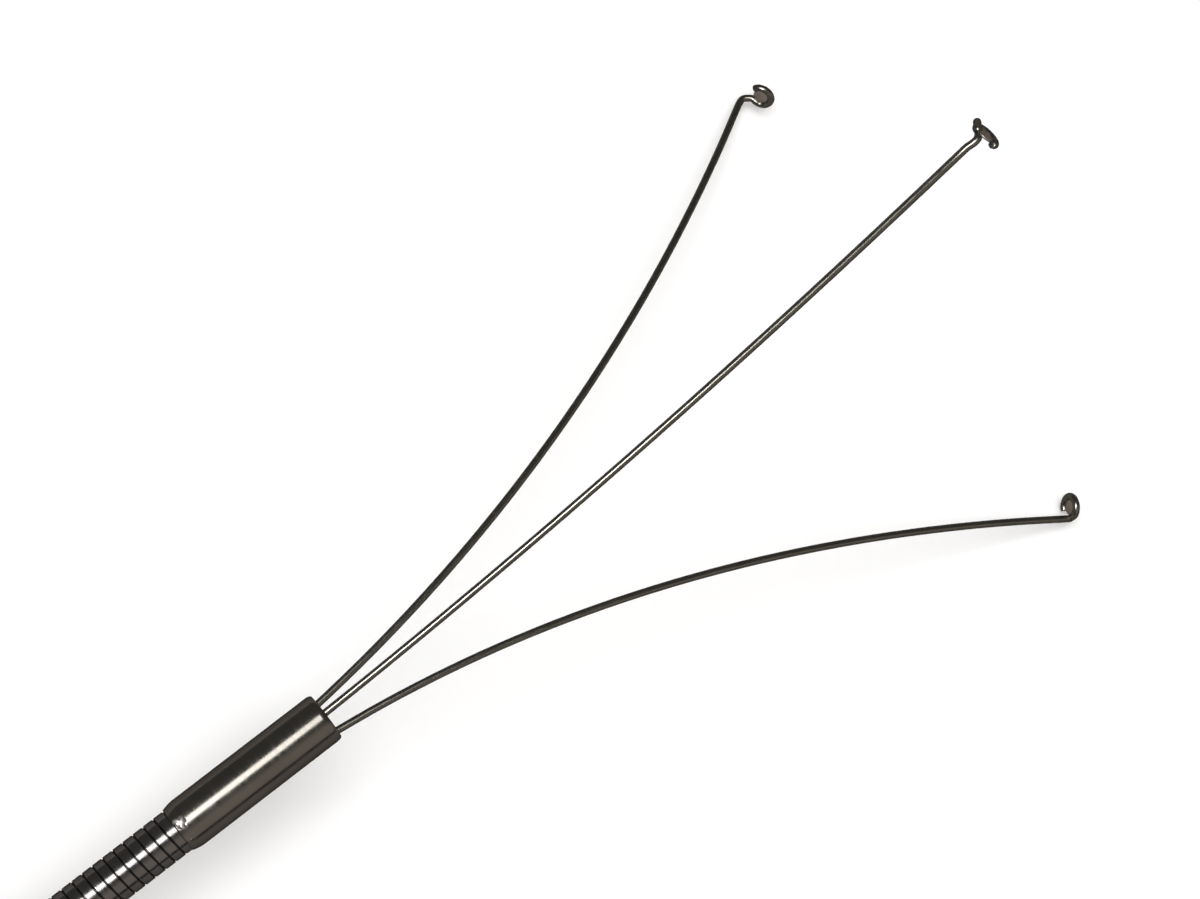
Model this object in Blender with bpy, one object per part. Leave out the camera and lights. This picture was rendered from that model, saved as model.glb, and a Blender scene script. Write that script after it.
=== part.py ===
"""Three-prong polyp grasper: three hooked spring wires in a sleeve on a coiled flat-wire
sheath, drawn in by a finger slider on a three-ring handle. Metres, +Z up, floor at z = 0.
The origin is under the middle of the handle's front boss."""

import math

import bmesh
import bpy
import numpy as np
from mathutils import Matrix, Vector

MM = 0.001

# Wires and hooks
WIRE_R = 0.19 * MM
MOUTH_WIRE_R = 0.92 * MM  # from the axis to a wire's centre at the mouth of the sleeve
MOUTH_SLOPE = 0.124  # how steeply a wire leaves the mouth
SPLAY_BEND_R = 64.9 * MM  # the radius at which a wire bends away from the axis
PRONG_REACH = 36.8 * MM  # along the axis, from the mouth to the root of a hook
HOOK_LOOP_R = 0.55 * MM
HOOK_LOOP_END = math.radians(300)
CLOSE_TRAVEL = 33 * MM  # how far the slider draws the wires in
# Each wire is bent by hand: turn about the axis, splay, reach, lean of the loop, and in mm how
# far its centre lies inward and ahead of the stem's end, and how far the bend swings sideways
PRONGS = {
    "prong_upper": (0, 0.985, 1.01, 3, 0.58, 0.9, 0.68),
    "prong_left": (-120, 0.98, 1.029, 8, 1.18, 0.56, 0.12),
    "prong_right": (120, 1.04, 1.003, -5, 0.61, 0.1, 0.08),
}

# Sleeve, sheath and what slides in them
SHEATH_R = 1.15 * MM
SHEATH_WALL = 0.33 * MM
SHEATH_PITCH = 0.59 * MM
GROOVE_DEPTH = 0.12 * MM
GROOVED_LENGTH = 20 * MM  # how much of the straight sheath shows its turns
DISTAL_SPARE = 13.4 * MM  # hollow left behind the pull cable when the wires are drawn in
SHEATH_SEAT = 3 * MM  # how far inside the mouth the sheath stops
SLEEVE_R = 1.3 * MM
SLEEVE_CLEARANCE = 0.03 * MM
SLEEVE_LENGTH = 8.8 * MM
SLEEVE_LIP = 0.13 * MM
COLLAR_CLEARANCE = 0.1 * MM
COLLAR_DEPTH = 4.1 * MM  # from the mouth back to the collar's face
COLLAR_LENGTH = 3.5 * MM
CABLE_R = 0.45 * MM
CABLE_LENGTH = 8 * MM

# Handle
HANDLE_HEIGHT = 7 * MM  # half the thickness of the two bosses
BOSS_HALF_WIDTH = 8 * MM
FRONT_BOSS = 14 * MM
REAR_BOSS = 12 * MM
BAR_HALF_WIDTH = 6 * MM
BAR_HALF_DEPTH = 4.5 * MM
EDGE_ROUND = 1 * MM
BOSS_ROUND = 2.2 * MM
SLOT_HALF_WIDTH = 2.1 * MM
NIPPLE_R = 3.2 * MM
NIPPLE_LENGTH = 5 * MM
ROD_R = 0.55 * MM
ROD_CLEARANCE = 0.1 * MM
ROD_HELD = 2 * MM  # how much of the rod the front boss still guides when drawn in
FIT = 0.3 * MM
SLIDER_LENGTH = 16 * MM
SLIDER_WALL = 2 * MM
RING_SECTION = 2.6 * MM
FINGER_RING_R = 12.2 * MM
THUMB_RING_R = 14.6 * MM
THUMB_STEM = 7 * MM
TENON_LENGTH = 9 * MM
TENON_HALF_WIDTH = 3.6 * MM
TENON_HALF_DEPTH = 2.6 * MM
PIN_R = 1.25 * MM
PIN_CLEARANCE = 0.05 * MM
BLOCK_LENGTH = 9 * MM
SCREW_R = 1 * MM
SCREW_HEAD_R = 1.9 * MM
SCREW_HEAD = 1.2 * MM
NUT_R = 5.4 * MM
NUT_LENGTH = 12 * MM
NUT_WALL = 2 * MM
FERRULE_R = 2.6 * MM
FERRULE_LENGTH = 3 * MM
RELIEF_LENGTH = 26 * MM
RELIEF_R = 2.9 * MM
RELIEF_TIP_R = 1.75 * MM
RELIEF_RIBS = 7

# Where the head lies, and the wound length of the sheath
HEAD_X = 18.5 * MM
HEAD_Y = 62 * MM
COIL_CENTRE = Vector((-77 * MM, 31 * MM, 0))
COIL_MEAN_R = 20.6 * MM
COIL_TURN_STEP = 2.37 * MM
COIL_LAYERS = 4
COIL_TURNS_PER_LAYER = 4.125
TIE_THICK = 0.4 * MM
TIE_WIDTH = 3 * MM
TIE_TURNS = (60, 180, 300)
CORD_GAP = 0.3 * MM
CORD_STRAIGHT = 2.6 * MM  # how far the sheath runs straight on from the head and the handle
COIL_STRAIGHT = 11.4 * MM  # how far from the coil's middle its ends have left the turns

STEEL = ((0.55, 0.54, 0.51), 0.22, 1.0)
DARK_STEEL = ((0.38, 0.37, 0.33), 0.3, 1.0)
BRAZE = ((0.62, 0.5, 0.3), 0.35, 1.0)
PLASTIC = ((0.05, 0.055, 0.06), 0.45, 0.0)
SOFT_PLASTIC = ((0.1, 0.11, 0.12), 0.6, 0.0)

SHEATH_BORE_R = SHEATH_R - SHEATH_WALL
SLEEVE_BORE_R = SHEATH_R + SLEEVE_CLEARANCE
COLLAR_R = SHEATH_BORE_R - COLLAR_CLEARANCE
HINGE_R = MOUTH_WIRE_R - MOUTH_SLOPE * COLLAR_DEPTH
BAR_LENGTH = SLIDER_LENGTH + CLOSE_TRAVEL + 2 * FIT
BODY_LENGTH = FRONT_BOSS + BAR_LENGTH + REAR_BOSS
ROD_AHEAD = CLOSE_TRAVEL - FRONT_BOSS + ROD_HELD
PROXIMAL_LENGTH = NUT_LENGTH + RELIEF_LENGTH - NIPPLE_LENGTH
DISTAL_LENGTH = COLLAR_DEPTH + COLLAR_LENGTH + CABLE_LENGTH + CLOSE_TRAVEL + DISTAL_SPARE
SLIDER_HALF_WIDTH = BAR_HALF_WIDTH + FIT + SLIDER_WALL
SLIDER_HALF_DEPTH = HANDLE_HEIGHT - FIT
SLIDER_REST = FRONT_BOSS + FIT + SLIDER_LENGTH / 2
HANDLE_FRONT = Vector((-FRONT_BOSS / 2, 0, HANDLE_HEIGHT))
COIL_FLOOR = TIE_THICK + CORD_GAP
COIL_REACH = COIL_TURNS_PER_LAYER * COIL_TURN_STEP / 2
COIL_OUTER = COIL_MEAN_R + COIL_REACH + SHEATH_R
COIL_INNER = COIL_MEAN_R - COIL_REACH - SHEATH_R
COIL_TOP = COIL_FLOOR + 2 * SHEATH_R * COIL_LAYERS


def material(name, look):
    made = bpy.data.materials.get(name)
    if made is None:
        made = bpy.data.materials.new(name)
        made.use_nodes = True
        shader = made.node_tree.nodes["Principled BSDF"]
        color, roughness, metallic = look
        shader.inputs["Base Color"].default_value = (*color, 1)
        shader.inputs["Roughness"].default_value = roughness
        shader.inputs["Metallic"].default_value = metallic
        made.diffuse_color = (*color, 1)
    return made


def add(name, data, look=None, parent=None, place=None):
    """An object for the mesh or curve data, placed by a matrix. With no look it is a helper."""
    made = bpy.data.objects.new(name, data)
    bpy.context.scene.collection.objects.link(made)
    if look is None:
        made.hide_render = True
        made.display_type = "WIRE"
    else:
        data.materials.append(material(name + "_finish", look))
    made.parent = parent
    if place is not None:
        made.matrix_local = place
    return made


def empty(name, place):
    made = bpy.data.objects.new(name, None)
    bpy.context.scene.collection.objects.link(made)
    made.matrix_world = place
    return made


def pointing(direction, at=(0, 0, 0)):
    """A matrix that turns local +Z to a direction and moves the origin to a point."""
    turn = Vector(direction).to_track_quat("Z", "Y").to_matrix().to_4x4()
    return Matrix.Translation(at) @ turn


def turned(name, profile, steps, look=None, parent=None, place=None, closed=False):
    """A body turned about local Z. The profile runs down its outer side and, when closed,
    back up the bore."""
    bm = bmesh.new()
    points = [bm.verts.new((r, 0, z)) for r, z in profile]
    pairs = list(zip(points, points[1:]))
    if closed:
        pairs.append((points[-1], points[0]))
    for pair in pairs:
        bm.edges.new(pair)
    mesh = bpy.data.meshes.new(name)
    bm.to_mesh(mesh)
    bm.free()
    made = add(name, mesh, look, parent, place)
    screw = made.modifiers.new("turn", "SCREW")
    screw.steps = screw.render_steps = steps
    screw.use_merge_vertices = True
    screw.merge_threshold = 0.00001 * MM
    screw.use_smooth_shade = True
    return made


def rod(name, radius, length, steps, look=None, parent=None, place=None):
    """A plain cylinder from local z = 0 to its length."""
    profile = [(0, length), (radius, length), (radius, 0), (0, 0)]
    return turned(name, profile, steps, look, parent, place)


def tube(name, outer, inner, length, steps, look, parent, place):
    profile = [(outer, length), (outer, 0), (inner, 0), (inner, length)]
    return turned(name, profile, steps, look, parent, place, closed=True)


def block(name, low, high, rounding=0, look=None, parent=None, place=None):
    """A box between two corners, with its edges rounded by a bevel."""
    bm = bmesh.new()
    bmesh.ops.create_cube(bm, size=1)
    low, high = Vector(low), Vector(high)
    bmesh.ops.scale(bm, vec=high - low, verts=bm.verts)
    bmesh.ops.translate(bm, vec=(low + high) / 2, verts=bm.verts)
    mesh = bpy.data.meshes.new(name)
    bm.to_mesh(mesh)
    bm.free()
    made = add(name, mesh, look, parent, place)
    if rounding:
        bevel = made.modifiers.new("round", "BEVEL")
        bevel.width = rounding
        bevel.segments = 2
    return made


def combine(target, others, operation):
    for number, other in enumerate(others):
        boolean = target.modifiers.new(f"{operation.lower()}_{number}", "BOOLEAN")
        boolean.operation = operation
        boolean.solver = "EXACT"
        boolean.object = other


def wire(name, points, radius, look, resolution=2, parent=None, place=None):
    """A round wire or cord through the points, with filled ends."""
    curve = bpy.data.curves.new(name, "CURVE")
    curve.dimensions = "3D"
    curve.bevel_depth = radius
    curve.bevel_resolution = resolution
    curve.use_fill_caps = True
    spline = curve.splines.new("POLY")
    spline.points.add(len(points) - 1)
    for point, place_of in zip(spline.points, points):
        point.co = (*place_of, 1)
    return add(name, curve, look, parent, place)


def smooth(route, step):
    """Points a step apart on a Catmull-Rom curve through the route's points."""
    route = [np.array(p, float) for p in route]
    ends = [2 * route[0] - route[1], *route, 2 * route[-1] - route[-2]]
    found = []
    for p0, p1, p2, p3 in zip(ends, ends[1:], ends[2:], ends[3:]):
        count = max(2, round(float(np.linalg.norm(p2 - p1)) / step))
        for t in np.arange(count) / count:
            found.append(
                0.5
                * (
                    2 * p1
                    + (p2 - p0) * t
                    + (2 * p0 - 5 * p1 + 4 * p2 - p3) * t**2
                    + (3 * p1 - p0 - 3 * p2 + p3) * t**3
                )
            )
    found.append(route[-1])
    return found


def prong_path(splay, reach, lean, inner, ahead, swing):
    """A wire's centre line in its own plane frame: x along the axis from the mouth,
    y across, z outward from the axis. The stem follows a parabola. The hook turns square
    inward and curls once round, most of the way back to the stem."""
    end = PRONG_REACH * reach
    start = WIRE_R - COLLAR_DEPTH
    points = []
    for x in [start, *np.linspace(0, end, 15)]:
        out = MOUTH_WIRE_R + MOUTH_SLOPE * x + splay * max(x, 0) ** 2 / (2 * SPLAY_BEND_R)
        points.append(Vector((x, 0, out)))
    slope = MOUTH_SLOPE + splay * end / SPLAY_BEND_R
    along = Vector((1, 0, slope)).normalized()
    inward = Vector((along.z, 0, -along.x))
    across = Matrix.Rotation(math.radians(-lean), 3, inward) @ Vector((0, -1, 0))
    root = points[-1]
    middle = root + inward * inner * MM + across * WIRE_R / 2
    neck = ahead * MM
    points.append(root + along * neck * 0.75 + inward * neck * 0.2)
    points.append(root + along * neck * 1.1 + inward * neck * 0.95 - across * swing * MM)
    for turn in np.linspace(math.radians(42), HOOK_LOOP_END, 11):
        swell = 1 + 0.12 * max(0, turn - math.radians(240))
        side = across * -math.sin(turn) - inward * math.cos(turn)
        points.append(middle + along * neck + side * HOOK_LOOP_R * swell)
    return points


def head_place():
    """The head lies on its two lower hooks and on the back end of the straight sheath."""
    lowest = Vector((0, 0, 0))
    for turn, *shape in PRONGS.values():
        around = Matrix.Rotation(math.radians(turn), 3, "X")
        for point in prong_path(*shape):
            lowest = min(lowest, around @ point, key=lambda p: p.z)
    drop = -lowest.z + WIRE_R - SHEATH_R
    rise = math.atan2(drop, lowest.x + DISTAL_LENGTH)
    height = (DISTAL_LENGTH + SHEATH_R * math.tan(rise)) * math.sin(rise)
    height += SHEATH_R * math.cos(rise) + 0.02 * MM
    return Matrix.Translation((HEAD_X, HEAD_Y, height)) @ Matrix.Rotation(-rise, 4, "Y")


def along_head(x):
    """Local +Z runs to the tips, from a point x behind or ahead of the mouth."""
    return pointing((1, 0, 0), (x, 0, 0))


def distal_sleeve(head):
    back = -SLEEVE_LENGTH
    profile = [
        (SLEEVE_R - SLEEVE_LIP, 0),
        (SLEEVE_R - SLEEVE_LIP / 3, -SLEEVE_LIP / 2),
        (SLEEVE_R, -1.5 * SLEEVE_LIP),
        (SLEEVE_R, back + 4 * SLEEVE_LIP),
        (SLEEVE_R - SLEEVE_LIP / 2, back),
        (SLEEVE_BORE_R, back),
        (SLEEVE_BORE_R, -SLEEVE_LIP),
        (SLEEVE_BORE_R, 0),
    ]
    turned("distal_sleeve", profile[:6] + profile[7:], 24, STEEL, head, along_head(0), True)


def distal_sheath(head):
    """The flat-wire coil. Its turns show as shallow grooves, up to where it only lies hidden
    by distance; the rest of its length is smooth."""
    front, back = -SHEATH_SEAT, -DISTAL_LENGTH
    profile = [(SHEATH_R, front)]
    start = -SLEEVE_LENGTH
    for turn in range(round(GROOVED_LENGTH / SHEATH_PITCH)):
        z = start - turn * SHEATH_PITCH
        profile.append((SHEATH_R, z))
        profile.append((SHEATH_R - GROOVE_DEPTH, z - SHEATH_PITCH / 5))
        profile.append((SHEATH_R, z - 2 * SHEATH_PITCH / 5))
    profile += [(SHEATH_R, back), (SHEATH_BORE_R, back), (SHEATH_BORE_R, front)]
    turned("distal_sheath", profile, 12, STEEL, head, along_head(0), True)


def prongs(head, drive):
    for name, (turn, *shape) in PRONGS.items():
        around = Matrix.Rotation(math.radians(turn), 4, "X")
        hinge = Vector((-COLLAR_DEPTH, 0, HINGE_R))
        pivot = empty(name + "_pivot", head.matrix_world @ around @ Matrix.Translation(hinge))
        pivot.parent = drive
        pivot.matrix_parent_inverse = drive.matrix_world.inverted()
        path = [point - hinge for point in prong_path(*shape)]
        wire(name, path, WIRE_R, DARK_STEEL, parent=pivot)


def pull_parts(drive):
    face = -COLLAR_DEPTH
    back = face - COLLAR_LENGTH
    collar = [
        (0, face),
        (COLLAR_R * 0.85, face),
        (COLLAR_R, face - COLLAR_R / 5),
        (COLLAR_R, back + COLLAR_R / 5),
        (COLLAR_R * 0.8, back),
        (0, back),
    ]
    turned("prong_collar", collar, 16, BRAZE, drive, along_head(0))
    seat = back - WIRE_R / 4
    place = along_head(seat - CABLE_LENGTH)
    rod("pull_cable", CABLE_R, CABLE_LENGTH, 12, DARK_STEEL, drive, place)


def glide(start, end):
    """Points from one place to another along X, easing across so that both ends run straight."""
    found = []
    for share in np.linspace(0, 1, 4):
        eased = share * share * (3 - 2 * share)
        point = start.lerp(end, eased)
        point.x = start.x + (end.x - start.x) * share
        found.append(point)
    return found


def sheath_run(head):
    """The flexible sheath: a lead from the head, the wound length, and a tail to the handle."""
    back = head.matrix_world @ Vector((-DISTAL_LENGTH - CORD_GAP, 0, 0))
    heading = head.matrix_world.to_3x3() @ Vector((-1, 0, 0))
    low = COIL_FLOOR + SHEATH_R
    meets = COIL_CENTRE + Vector((COIL_STRAIGHT, COIL_OUTER - SHEATH_R, low))
    low_down = back + heading * CORD_STRAIGHT
    low_down.z = SHEATH_R + CORD_GAP / 8
    lead = [back, *glide(low_down, meets)]
    wire("sheath_lead", smooth(lead, 5 * MM), SHEATH_R, STEEL)
    profile = [
        (COIL_OUTER - SHEATH_R, COIL_TOP),
        (COIL_OUTER, COIL_TOP - SHEATH_R),
        (COIL_OUTER, COIL_FLOOR + SHEATH_R),
        (COIL_OUTER - SHEATH_R, COIL_FLOOR),
        (COIL_INNER + SHEATH_R, COIL_FLOOR),
        (COIL_INNER, COIL_FLOOR + SHEATH_R),
        (COIL_INNER, COIL_TOP - SHEATH_R),
        (COIL_INNER + SHEATH_R, COIL_TOP),
    ]
    place = Matrix.Translation(COIL_CENTRE)
    turned("sheath_coil", profile, 40, STEEL, None, place, True)
    leaves = COIL_CENTRE + Vector((COIL_STRAIGHT, SHEATH_R - COIL_OUTER, COIL_TOP - SHEATH_R))
    nose = HANDLE_FRONT - Vector((NIPPLE_LENGTH + PROXIMAL_LENGTH + CORD_GAP, 0, 0))
    tail = [*glide(leaves, nose - Vector((CORD_STRAIGHT, 0, 0))), nose]
    wire("sheath_tail", smooth(tail, 5 * MM), SHEATH_R, STEEL)


def coil_ties():
    """Soft straps round the wound sheath, which lies on them."""
    wide = (COIL_OUTER - COIL_INNER) / 2 + CORD_GAP
    low, high = COIL_FLOOR - CORD_GAP, COIL_TOP + CORD_GAP
    for number, turn in enumerate(TIE_TURNS, 1):
        around = Matrix.Rotation(math.radians(turn), 4, "Z")
        place = Matrix.Translation(COIL_CENTRE) @ around @ Matrix.Translation((COIL_MEAN_R, 0, 0))
        grown = wide + TIE_THICK
        name = f"coil_tie_{number}"
        half = TIE_WIDTH / 2
        strap = block(
            name,
            (-grown, -half, low - TIE_THICK),
            (grown, half, high + TIE_THICK),
            0,
            SOFT_PLASTIC,
            None,
            place,
        )
        inside = block(name + "_hole", (-wide, -2 * half, low), (wide, 2 * half, high))
        inside.matrix_world = place
        combine(strap, [inside], "DIFFERENCE")


def along_handle(x, direction=1):
    return pointing((direction, 0, 0), (x, 0, 0))


def handle_body(handle):
    """A moulded bar with a slot for the slider, between two thicker bosses it stops on."""
    wide, deep = BOSS_HALF_WIDTH, HANDLE_HEIGHT
    body = block(
        "handle_body",
        (0, -wide, -deep),
        (FRONT_BOSS, wide, deep),
        BOSS_ROUND,
        PLASTIC,
        handle,
        Matrix(),
    )
    rear = BODY_LENGTH - REAR_BOSS
    joined = [
        block(
            "body_bar",
            (FRONT_BOSS / 2, -BAR_HALF_WIDTH, -BAR_HALF_DEPTH),
            (BODY_LENGTH - REAR_BOSS / 2, BAR_HALF_WIDTH, BAR_HALF_DEPTH),
            EDGE_ROUND,
            parent=handle,
        ),
        block(
            "body_rear",
            (rear, -wide, -deep),
            (BODY_LENGTH, wide, deep),
            BOSS_ROUND,
            parent=handle,
        ),
        rod(
            "body_nipple",
            NIPPLE_R,
            NIPPLE_LENGTH + BOSS_ROUND,
            20,
            parent=handle,
            place=along_handle(-NIPPLE_LENGTH),
        ),
    ]
    block_room = (SLIDER_LENGTH - BLOCK_LENGTH) / 2 - FIT
    slot_low = (FRONT_BOSS + block_room, -SLOT_HALF_WIDTH, -deep)
    slot_high = (rear - block_room, SLOT_HALF_WIDTH, deep)
    tenon_wide, tenon_deep = TENON_HALF_WIDTH + FIT, TENON_HALF_DEPTH + FIT
    mortise = BODY_LENGTH - TENON_LENGTH - FIT
    cut = [
        block("slot_cut", slot_low, slot_high, parent=handle),
        rod(
            "rod_bore",
            ROD_R + ROD_CLEARANCE,
            NIPPLE_LENGTH + FRONT_BOSS + BLOCK_LENGTH,
            12,
            parent=handle,
            place=along_handle(-NIPPLE_LENGTH - FIT),
        ),
        block(
            "mortise_cut",
            (mortise, -tenon_wide, -tenon_deep),
            (BODY_LENGTH + FIT, tenon_wide, tenon_deep),
            parent=handle,
        ),
        rod(
            "pin_bore",
            PIN_R + PIN_CLEARANCE,
            4 * deep,
            16,
            parent=handle,
            place=pointing((0, 0, 1), (BODY_LENGTH - REAR_BOSS / 2, 0, -2 * deep)),
        ),
    ]
    combine(body, joined, "UNION")
    combine(body, cut, "DIFFERENCE")


def ring(name, radius, height, look, parent, place):
    """A moulded finger ring lying flat, with rounded edges."""
    thick, deep = RING_SECTION, height
    chamfer = 0.4 * thick
    profile = [
        (radius + thick - chamfer, deep),
        (radius + thick, deep - chamfer),
        (radius + thick, chamfer - deep),
        (radius + thick - chamfer, -deep),
        (radius - thick + chamfer, -deep),
        (radius - thick, chamfer - deep),
        (radius - thick, deep - chamfer),
        (radius - thick + chamfer, deep),
    ]
    return turned(name, profile, 32, look, parent, place, True)


def slider_rings(slider):
    """The slider's sleeve and both finger rings, moulded in one. Its origin is its middle."""
    half, wide, deep = SLIDER_LENGTH / 2, SLIDER_HALF_WIDTH, SLIDER_HALF_DEPTH
    body = block(
        "slider_rings",
        (-half, -wide, -deep),
        (half, wide, deep),
        BOSS_ROUND,
        PLASTIC,
        slider,
        Matrix(),
    )
    ring_at = wide + FINGER_RING_R - RING_SECTION / 4
    rings = []
    for side in (-1, 1):
        place = Matrix.Translation((0, side * ring_at, 0))
        name = f"finger_ring_{'right' if side < 0 else 'left'}"
        rings.append(ring(name, FINGER_RING_R, RING_SECTION, None, slider, place))
    room_wide, room_deep = BAR_HALF_WIDTH + FIT, BAR_HALF_DEPTH + FIT
    cut = [
        block(
            "slider_room",
            (-2 * half, -room_wide, -room_deep),
            (2 * half, room_wide, room_deep),
            parent=slider,
        ),
        rod(
            "screw_bore",
            SCREW_R + PIN_CLEARANCE,
            deep,
            12,
            parent=slider,
            place=pointing((0, 0, 1), (0, 0, room_deep / 2)),
        ),
        rod(
            "screw_recess",
            SCREW_HEAD_R + PIN_CLEARANCE,
            SCREW_HEAD + FIT,
            16,
            parent=slider,
            place=pointing((0, 0, 1), (0, 0, deep - SCREW_HEAD)),
        ),
    ]
    combine(body, rings, "UNION")
    combine(body, cut, "DIFFERENCE")


def clamp_parts(slider):
    """The steel block that grips the drive rod in the slot, its screw, and the rod."""
    half = BLOCK_LENGTH / 2
    wide = SLOT_HALF_WIDTH - FIT / 2
    top = BAR_HALF_DEPTH
    grip = block(
        "clamp_block",
        (-half, -wide, -top),
        (half, wide, top),
        EDGE_ROUND / 4,
        STEEL,
        slider,
        Matrix(),
    )
    front = -SLIDER_REST - ROD_AHEAD
    rod_end = half / 2
    rod_hole = ROD_R + PIN_CLEARANCE
    screw_tip = ROD_R + 2 * PIN_CLEARANCE
    cut = [
        rod(
            "block_bore",
            rod_hole,
            BLOCK_LENGTH,
            12,
            parent=slider,
            place=along_handle(rod_end + FIT / 2 - BLOCK_LENGTH),
        ),
        rod(
            "block_thread",
            SCREW_R + PIN_CLEARANCE,
            2 * top,
            12,
            parent=slider,
            place=pointing((0, 0, 1), (0, 0, 0)),
        ),
    ]
    combine(grip, cut, "DIFFERENCE")
    rod("drive_rod", ROD_R, rod_end - front, 12, DARK_STEEL, slider, along_handle(front))
    head = SLIDER_HALF_DEPTH - FIT / 3
    under = head - SCREW_HEAD + FIT
    screw = [
        (0, head),
        (SCREW_HEAD_R, head),
        (SCREW_HEAD_R, under),
        (SCREW_R, under),
        (SCREW_R, screw_tip),
        (0, screw_tip),
    ]
    made = turned("clamp_screw", screw, 16, STEEL, slider, Matrix())
    width = SCREW_R * 0.3
    drive_slot = block(
        "screw_slot",
        (-2 * SCREW_HEAD_R, -width, head - SCREW_HEAD / 3),
        (2 * SCREW_HEAD_R, width, head + SCREW_HEAD),
        parent=slider,
    )
    combine(made, [drive_slot], "DIFFERENCE")


def thumb_ring(handle):
    """A moulded ring on a short stem, whose tenon is pinned in the rear boss."""
    centre = BODY_LENGTH + THUMB_STEM + THUMB_RING_R
    deep = TENON_HALF_DEPTH
    body = ring(
        "thumb_ring",
        THUMB_RING_R,
        RING_SECTION * 1.25,
        PLASTIC,
        handle,
        Matrix.Translation((centre, 0, 0)),
    )
    stem = [
        block(
            "ring_stem",
            (BODY_LENGTH + FIT, -1.5 * TENON_HALF_WIDTH, -1.2 * deep),
            (BODY_LENGTH + THUMB_STEM + RING_SECTION / 2, 1.5 * TENON_HALF_WIDTH, 1.2 * deep),
            EDGE_ROUND / 2,
            parent=handle,
        ),
        block(
            "ring_tenon",
            (BODY_LENGTH - TENON_LENGTH, -TENON_HALF_WIDTH, -deep),
            (BODY_LENGTH + THUMB_STEM / 2, TENON_HALF_WIDTH, deep),
            parent=handle,
        ),
    ]
    middle = BODY_LENGTH - REAR_BOSS / 2
    bore = rod(
        "tenon_bore",
        PIN_R + PIN_CLEARANCE,
        4 * deep,
        16,
        parent=handle,
        place=pointing((0, 0, 1), (middle, 0, -2 * deep)),
    )
    combine(body, stem, "UNION")
    combine(body, [bore], "DIFFERENCE")
    half = HANDLE_HEIGHT - FIT
    place = pointing((0, 0, 1), (middle, 0, -half))
    rod("thumb_ring_pin", PIN_R, 2 * half, 16, STEEL, handle, place)


def nose_parts(handle):
    """What holds the sheath on the handle: ferrule, nut, strain relief and sheath end.
    These are turned about the handle's axis with local +Z to the nose."""
    place = along_handle(0, -1)
    sheath_hole = SHEATH_R + PIN_CLEARANCE
    shoulder = NUT_LENGTH - NUT_WALL
    cavity = NIPPLE_R + FIT
    nut = [
        (NUT_R * 0.75, NUT_LENGTH),
        (NUT_R, NUT_LENGTH - NUT_WALL),
        (NUT_R, FIT),
        (cavity, FIT),
        (cavity, shoulder),
        (sheath_hole + FIT, shoulder),
        (sheath_hole + FIT, NUT_LENGTH),
    ]
    turned("nose_nut", nut, 18, STEEL, handle, place, True)
    low = NIPPLE_LENGTH + FIT
    ferrule = [
        (FERRULE_R, low + FERRULE_LENGTH),
        (FERRULE_R, low),
        (sheath_hole, low),
        (sheath_hole, low + FERRULE_LENGTH),
    ]
    turned("sheath_ferrule", ferrule, 16, BRAZE, handle, place, True)
    start = NUT_LENGTH + FIT
    step = RELIEF_LENGTH / (RELIEF_RIBS + 1)
    relief = []
    for rib in range(RELIEF_RIBS, 0, -1):
        z = start + rib * step
        out = RELIEF_R + (RELIEF_TIP_R - RELIEF_R) * rib / (RELIEF_RIBS + 1)
        relief.append((out, z + step / 4))
        relief.append((out, z - step / 4))
        relief.append((out - 2 * SHEATH_WALL / 3, z - step / 2.5))
        relief.append((out - 2 * SHEATH_WALL / 3, z - step / 1.5))
    relief = [(RELIEF_TIP_R - SHEATH_WALL, start + RELIEF_LENGTH), *relief]
    relief += [(RELIEF_R, start), (sheath_hole, start), (sheath_hole, start + RELIEF_LENGTH)]
    turned("strain_relief", relief, 18, SOFT_PLASTIC, handle, place, True)
    inner = along_handle(-NIPPLE_LENGTH - PROXIMAL_LENGTH)
    length = PROXIMAL_LENGTH - FIT
    tube("proximal_sheath", SHEATH_R, SHEATH_BORE_R, length, 12, STEEL, handle, inner)


def main():
    for thing in list(bpy.data.objects):
        bpy.data.objects.remove(thing, do_unlink=True)
    head = empty("head", head_place())
    drive = empty("drive", head.matrix_world)
    handle = empty("handle", Matrix.Translation(HANDLE_FRONT))
    slider = empty("slider", Matrix.Translation(HANDLE_FRONT + Vector((SLIDER_REST, 0, 0))))
    distal_sleeve(head)
    distal_sheath(head)
    pull_parts(drive)
    prongs(head, drive)
    sheath_run(head)
    coil_ties()
    handle_body(handle)
    slider_rings(slider)
    clamp_parts(slider)
    thumb_ring(handle)
    nose_parts(handle)


main()
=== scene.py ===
"""The finished look of a three-prong polyp grasper: three hooked spring wires fanning out of
a sleeve on a coiled sheath, and behind it the wound sheath and a three-ring handle. It is
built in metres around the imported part."""

import math

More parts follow.
